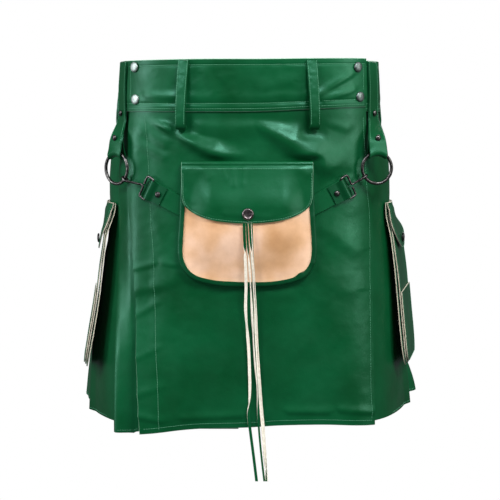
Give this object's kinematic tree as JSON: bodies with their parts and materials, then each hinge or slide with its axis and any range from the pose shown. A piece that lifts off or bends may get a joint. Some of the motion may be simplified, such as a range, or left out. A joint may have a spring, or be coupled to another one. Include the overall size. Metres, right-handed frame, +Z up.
{
  "type": "leather utility kilt",
  "caption": "Pleated leather kilt with a wrapped front apron, waistband with belt loops, hip straps, hung front pouch with laces, and flat hip pockets.",
  "frame": {"origin": "centre of the waist ring at half the waistband's height, where the wearer holds the kilt up", "axes": "+Z up, the front with its apron and pouch faces -Y, +X is to the right of someone looking at the front"},
  "size_m": [0.5436, 0.4351, 0.6165],
  "materials": {
    "green_leather": "smooth glossy green grain leather",
    "tan_leather": "matt undyed tan leather",
    "lace_leather": "pale suede flesh side with a green grain side",
    "gunmetal": "dark gunmetal plating, semi-gloss",
    "snap_metal": "antique nickel snap caps"
  },
  "bodies": {
    "root": {"waistband_under": "green_leather", "waistband_left": "green_leather", "waistband_right": "green_leather", "waistband_back": "green_leather", "waistband_front": "green_leather", "front_apron": "green_leather", "under_apron": "green_leather", "panel_left_front": "green_leather", "panel_left_side": "green_leather", "panel_right_side": "green_leather", "pleat_left_1": "green_leather", "pleat_left_2": "green_leather", "pleat_left_3": "green_leather", "pleat_right_1": "green_leather", "pleat_right_2": "green_leather", "pleat_right_3": "green_leather", "pleat_centre_back": "green_leather", "belt_loop_front_left": "green_leather", "belt_loop_front_right": "green_leather", "belt_loop_side_left": "green_leather", "belt_loop_side_right": "green_leather", "belt_loop_back_left": "green_leather", "belt_loop_back_right": "green_leather", "snap_left_top": "snap_metal", "snap_left_bottom": "snap_metal", "snap_right_top": "snap_metal", "snap_right_bottom": "snap_metal", "hip_strap_left": "green_leather", "hip_rivet_left_top": "gunmetal", "hip_rivet_left_bottom": "gunmetal", "ring_left": "gunmetal", "hook_left": "gunmetal", "pouch_strap_left": "green_leather", "pouch_rivet_left": "gunmetal", "hip_strap_right": "green_leather", "hip_rivet_right_top": "gunmetal", "hip_rivet_right_bottom": "gunmetal", "ring_right": "gunmetal", "hook_right": "gunmetal", "pouch_strap_right": "green_leather", "pouch_rivet_right": "gunmetal", "pouch_back": "green_leather", "pouch_front": "tan_leather", "pouch_binding": "green_leather", "pouch_flap": "green_leather", "pouch_stud": "gunmetal", "pouch_laces": "lace_leather", "pocket_base_left": "green_leather", "pocket_panel_left": "green_leather", "pocket_patch_left": "green_leather", "pocket_flap_left": "green_leather", "pocket_stud_left": "gunmetal", "pocket_base_right": "green_leather", "pocket_panel_right": "green_leather", "pocket_patch_right": "green_leather", "pocket_flap_right": "green_leather", "pocket_stud_right": "gunmetal"}
  },
  "joints": []
}
